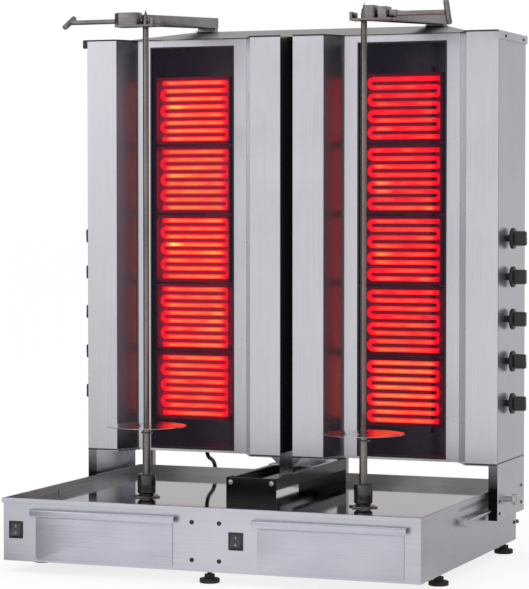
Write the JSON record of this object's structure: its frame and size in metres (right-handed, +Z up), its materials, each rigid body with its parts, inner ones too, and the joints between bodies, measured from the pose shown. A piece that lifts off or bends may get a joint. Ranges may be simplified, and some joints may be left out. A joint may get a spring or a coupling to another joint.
{
  "type": "doner kebab grill",
  "caption": "Upright electric kebab grill: glass-fronted heater columns that slide over a drip tray, motor-turned spits, top holders, fat drawers and control knobs.",
  "frame": {"origin": "on the floor under the feet, at the middle of the grill's width and depth", "axes": "+X to the right across the front, +Y from the front to the back, +Z up"},
  "size_m": [1.0068, 0.718, 1.1546],
  "materials": {
    "base_steel": "brushed stainless sheet",
    "tray_mirror": "mirror-polished stainless sheet",
    "rail_steel": "polished stainless sheet",
    "frame_steel": "brushed stainless sheet",
    "bright_steel": "bright zinc and stainless fasteners",
    "motor_paint": "dark stove enamel",
    "black_plastic": "moulded black plastic",
    "foot_rubber": "black moulded rubber",
    "cable_sheath": "black silicone sheath",
    "column_steel": "brushed stainless sheet",
    "dark_glass": "dark ceramic glass",
    "insulation": "pressed mineral board",
    "glowing_ribbon": "glowing resistance ribbon",
    "regulator_plastic": "dark moulded housing",
    "spit_steel": "turned stainless bar",
    "disc_steel": "polished stainless disc",
    "drawer_steel": "brushed stainless sheet",
    "rocker_plastic": "black moulded rocker",
    "holder_steel": "ground stainless bar",
    "knob_plastic": "black moulded knob"
  },
  "bodies": {
    "base": {"base_chassis": "base_steel", "base_bottom": "base_steel", "levelling_feet": "foot_rubber", "drip_tray": "tray_mirror", "centre_rail": "rail_steel", "rear_frame": "frame_steel", "roof_cover": "frame_steel", "guide_rods": "bright_steel", "rod_nuts": "bright_steel", "spit_motors": "motor_paint", "switch_bodies": "black_plastic", "panel_screws": "bright_steel", "cable_gland": "black_plastic", "socket_stars": "bright_steel", "arm_mounts": "bright_steel", "link_cable": "cable_sheath"},
    "column_left": {"column_shell_left": "column_steel", "heater_glass_left": "dark_glass", "heater_boards_left": "insulation", "heating_elements_left": "glowing_ribbon", "column_cap_left": "column_steel", "back_panel_left": "column_steel", "regulators_left": "regulator_plastic", "carriage_left": "column_steel"},
    "spit_left": {"spit_socket_left": "spit_steel", "spit_rod_left": "spit_steel", "spit_sleeve_left": "spit_steel", "meat_disc_left": "disc_steel"},
    "drawer_left_body": {"drawer_left": "drawer_steel"},
    "rocker_left_body": {"rocker_left": "rocker_plastic"},
    "arm_left": {"top_arm_left": "holder_steel"},
    "clamp_left": {"clamp_screw_left": "holder_steel"},
    "thumb_bolt_left_body": {"thumb_bolt_left": "bright_steel"},
    "knob_left_1_body": {"knob_left_1": "knob_plastic"},
    "knob_left_2_body": {"knob_left_2": "knob_plastic"},
    "knob_left_3_body": {"knob_left_3": "knob_plastic"},
    "knob_left_4_body": {"knob_left_4": "knob_plastic"},
    "knob_left_5_body": {"knob_left_5": "knob_plastic"},
    "column_right": {"column_shell_right": "column_steel", "heater_glass_right": "dark_glass", "heater_boards_right": "insulation", "heating_elements_right": "glowing_ribbon", "column_cap_right": "column_steel", "back_panel_right": "column_steel", "regulators_right": "regulator_plastic", "carriage_right": "column_steel"},
    "spit_right": {"spit_socket_right": "spit_steel", "spit_rod_right": "spit_steel", "spit_sleeve_right": "spit_steel", "meat_disc_right": "disc_steel"},
    "drawer_right_body": {"drawer_right": "drawer_steel"},
    "rocker_right_body": {"rocker_right": "rocker_plastic"},
    "arm_right": {"top_arm_right": "holder_steel"},
    "clamp_right": {"clamp_screw_right": "holder_steel"},
    "thumb_bolt_right_body": {"thumb_bolt_right": "bright_steel"},
    "knob_right_1_body": {"knob_right_1": "knob_plastic"},
    "knob_right_2_body": {"knob_right_2": "knob_plastic"},
    "knob_right_3_body": {"knob_right_3": "knob_plastic"},
    "knob_right_4_body": {"knob_right_4": "knob_plastic"},
    "knob_right_5_body": {"knob_right_5": "knob_plastic"}
  },
  "joints": [
    {"name": "column_left_slide", "type": "slide", "parent": "base", "child": "column_left", "axis": [0, -1, 0], "range_m": [0, 0.15], "deforming": ["link_cable"]},
    {"name": "spit_left_turn", "type": "hinge", "parent": "base", "child": "spit_left", "pos_m": [-0.2395, -0.09, 0.181], "axis": [0, 0, 1], "continuous": true},
    {"name": "drawer_left_slide", "type": "slide", "parent": "base", "child": "drawer_left_body", "axis": [0, -1, 0], "range_m": [0, 0.15]},
    {"name": "rocker_left_tilt", "type": "hinge", "parent": "base", "child": "rocker_left_body", "pos_m": [-0.4146, -0.342, 0.087], "axis": [1, 0, 0], "range_deg": [0, 16]},
    {"name": "arm_left_lift", "type": "hinge", "parent": "base", "child": "arm_left", "pos_m": [-0.267, 0.311, 1.142], "axis": [-1, 0, 0], "range_deg": [0, 75]},
    {"name": "clamp_left_turn", "type": "hinge", "parent": "arm_left", "child": "clamp_left", "pos_m": [-0.3, -0.09, 1.1246], "axis": [-1, 0, 0], "range_deg": [0, 720]},
    {"name": "thumb_bolt_left_turn", "type": "hinge", "parent": "column_left", "child": "thumb_bolt_left_body", "pos_m": [-0.465, 0.175, 0.129], "axis": [-1, 0, 0], "range_deg": [0, 720]},
    {"name": "knob_left_1_turn", "type": "hinge", "parent": "column_left", "child": "knob_left_1_body", "pos_m": [-0.46485, 0.18, 0.329], "axis": [-1, 0, 0], "range_deg": [0, 270]},
    {"name": "knob_left_2_turn", "type": "hinge", "parent": "column_left", "child": "knob_left_2_body", "pos_m": [-0.46485, 0.18, 0.417], "axis": [-1, 0, 0], "range_deg": [0, 270]},
    {"name": "knob_left_3_turn", "type": "hinge", "parent": "column_left", "child": "knob_left_3_body", "pos_m": [-0.46485, 0.18, 0.505], "axis": [-1, 0, 0], "range_deg": [0, 270]},
    {"name": "knob_left_4_turn", "type": "hinge", "parent": "column_left", "child": "knob_left_4_body", "pos_m": [-0.46485, 0.18, 0.593], "axis": [-1, 0, 0], "range_deg": [0, 270]},
    {"name": "knob_left_5_turn", "type": "hinge", "parent": "column_left", "child": "knob_left_5_body", "pos_m": [-0.46485, 0.18, 0.673], "axis": [-1, 0, 0], "range_deg": [0, 270]},
    {"name": "column_right_slide", "type": "slide", "parent": "base", "child": "column_right", "axis": [0, -1, 0], "range_m": [0, 0.15]},
    {"name": "spit_right_turn", "type": "hinge", "parent": "base", "child": "spit_right", "pos_m": [0.2395, -0.09, 0.181], "axis": [0, 0, 1], "continuous": true},
    {"name": "drawer_right_slide", "type": "slide", "parent": "base", "child": "drawer_right_body", "axis": [0, -1, 0], "range_m": [0, 0.15]},
    {"name": "rocker_right_tilt", "type": "hinge", "parent": "base", "child": "rocker_right_body", "pos_m": [0.0644, -0.342, 0.087], "axis": [1, 0, 0], "range_deg": [0, 16]},
    {"name": "arm_right_lift", "type": "hinge", "parent": "base", "child": "arm_right", "pos_m": [0.267, 0.311, 1.142], "axis": [-1, 0, 0], "range_deg": [0, 75]},
    {"name": "clamp_right_turn", "type": "hinge", "parent": "arm_right", "child": "clamp_right", "pos_m": [0.3, -0.09, 1.1246], "axis": [1, 0, 0], "range_deg": [0, 720]},
    {"name": "thumb_bolt_right_turn", "type": "hinge", "parent": "column_right", "child": "thumb_bolt_right_body", "pos_m": [0.465, 0.175, 0.129], "axis": [1, 0, 0], "range_deg": [0, 720]},
    {"name": "knob_right_1_turn", "type": "hinge", "parent": "column_right", "child": "knob_right_1_body", "pos_m": [0.46485, 0.18, 0.329], "axis": [1, 0, 0], "range_deg": [0, 270]},
    {"name": "knob_right_2_turn", "type": "hinge", "parent": "column_right", "child": "knob_right_2_body", "pos_m": [0.46485, 0.18, 0.417], "axis": [1, 0, 0], "range_deg": [0, 270]},
    {"name": "knob_right_3_turn", "type": "hinge", "parent": "column_right", "child": "knob_right_3_body", "pos_m": [0.46485, 0.18, 0.505], "axis": [1, 0, 0], "range_deg": [0, 270]},
    {"name": "knob_right_4_turn", "type": "hinge", "parent": "column_right", "child": "knob_right_4_body", "pos_m": [0.46485, 0.18, 0.593], "axis": [1, 0, 0], "range_deg": [0, 270]},
    {"name": "knob_right_5_turn", "type": "hinge", "parent": "column_right", "child": "knob_right_5_body", "pos_m": [0.46485, 0.18, 0.673], "axis": [1, 0, 0], "range_deg": [0, 270]}
  ]
}
